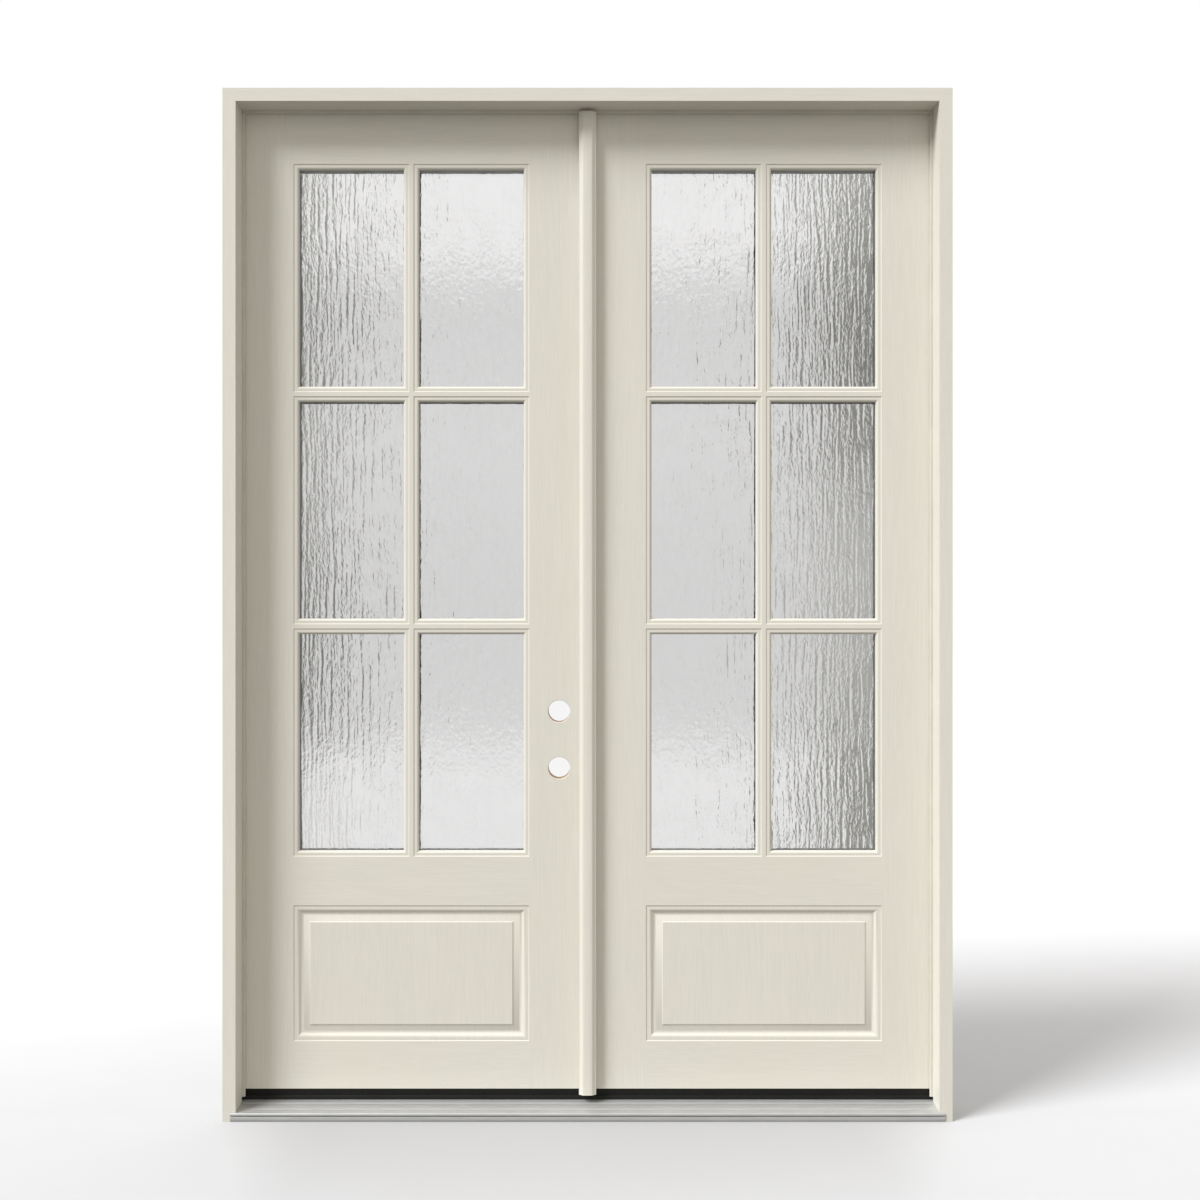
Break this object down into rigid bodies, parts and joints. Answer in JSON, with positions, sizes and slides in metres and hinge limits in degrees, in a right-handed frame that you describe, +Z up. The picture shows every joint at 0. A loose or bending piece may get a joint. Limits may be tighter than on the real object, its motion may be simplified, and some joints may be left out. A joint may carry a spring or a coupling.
{
  "type": "french doors",
  "caption": "Glazed entrance doors hung in their own frame, opening inwards, with glazing bars, raised panels, an astragal with flush bolts and an aluminium sill.",
  "frame": {"origin": "middle of the sill base, halfway through the depth of the jambs", "axes": "+X to the right as seen from outside, +Y from outside to inside, +Z up"},
  "size_m": [1.763, 0.1333, 2.496],
  "materials": {
    "painted_jamb": "satin off-white paint on timber",
    "painted_astragal": "satin off-white paint on timber",
    "painted_skin": "satin off-white paint on grained fibreglass",
    "painted_moulding": "satin off-white paint on moulded frames",
    "core_timber": "plain laminated timber",
    "foam": "rigid foam",
    "rain_glass": "rain texture, lightly obscured",
    "clear_glass": "clear",
    "spacer_metal": "dark grey coating",
    "mill_aluminium": "mill finish, drawn",
    "sill_composite": "moulded composite",
    "black_cap": "matt black",
    "black_vinyl": "matt black",
    "weatherstrip_foam": "foam in a soft skin",
    "satin_steel": "satin nickel",
    "screw_steel": "zinc plated"
  },
  "bodies": {
    "frame": {"head_jamb": "painted_jamb", "left_jamb": "painted_jamb", "right_jamb": "painted_jamb", "frame_screws": "screw_steel", "sill_deck": "mill_aluminium", "sill_substrate": "sill_composite", "threshold_cap": "black_cap", "threshold_screws": "screw_steel", "head_weatherstrip": "weatherstrip_foam", "left_weatherstrip": "weatherstrip_foam", "right_weatherstrip": "weatherstrip_foam", "head_bolt_strike": "satin_steel", "sill_bolt_strike": "satin_steel", "left_jamb_hinge_plates": "satin_steel", "right_jamb_hinge_plates": "satin_steel", "left_jamb_hinge_screws": "satin_steel", "right_jamb_hinge_screws": "satin_steel", "left_hinge_pins": "satin_steel", "right_hinge_pins": "satin_steel"},
    "left_leaf": {"left_exterior_skin": "painted_skin", "left_interior_skin": "painted_skin", "left_hinge_stile": "core_timber", "left_lock_stile": "core_timber", "left_lock_block": "core_timber", "left_top_rail": "core_timber", "left_bottom_rail": "core_timber", "left_foam_core": "foam", "left_exterior_lite_frame": "painted_moulding", "left_interior_lite_frame": "painted_moulding", "left_exterior_pane": "rain_glass", "left_interior_pane": "clear_glass", "left_glass_spacer": "spacer_metal", "left_lite_screws": "screw_steel", "left_door_sweep": "black_vinyl", "left_leaf_hinge_plates": "satin_steel", "left_leaf_hinge_screws": "satin_steel"},
    "right_leaf": {"right_exterior_skin": "painted_skin", "right_interior_skin": "painted_skin", "right_hinge_stile": "core_timber", "right_lock_stile": "core_timber", "right_lock_block": "core_timber", "right_top_rail": "core_timber", "right_bottom_rail": "core_timber", "right_foam_core": "foam", "right_exterior_lite_frame": "painted_moulding", "right_interior_lite_frame": "painted_moulding", "right_exterior_pane": "rain_glass", "right_interior_pane": "clear_glass", "right_glass_spacer": "spacer_metal", "right_lite_screws": "screw_steel", "right_door_sweep": "black_vinyl", "right_leaf_hinge_plates": "satin_steel", "right_leaf_hinge_screws": "satin_steel", "astragal": "painted_astragal", "astragal_seal": "weatherstrip_foam", "astragal_screws": "screw_steel", "lock_strikes": "satin_steel"},
    "top_bolt": {"top_bolt": "satin_steel"},
    "bottom_bolt": {"bottom_bolt": "satin_steel"}
  },
  "joints": [
    {"name": "left_swing", "type": "hinge", "parent": "frame", "child": "left_leaf", "pos_m": [-0.86085, 0.06495, 1.2], "axis": [0, 0, 1], "range_deg": [0, 95]},
    {"name": "right_swing", "type": "hinge", "parent": "frame", "child": "right_leaf", "pos_m": [0.86085, 0.06495, 1.2], "axis": [0, 0, -1], "range_deg": [0, 86]},
    {"name": "top_bolt_slide", "type": "slide", "parent": "right_leaf", "child": "top_bolt", "axis": [0, 0, 1], "range_m": [0, 0.01905]},
    {"name": "bottom_bolt_slide", "type": "slide", "parent": "right_leaf", "child": "bottom_bolt", "axis": [0, 0, -1], "range_m": [0, 0.01905]}
  ],
  "couplings": [
    {"joint": "right_swing", "follows": "left_swing", "ratio": 0.9}
  ]
}
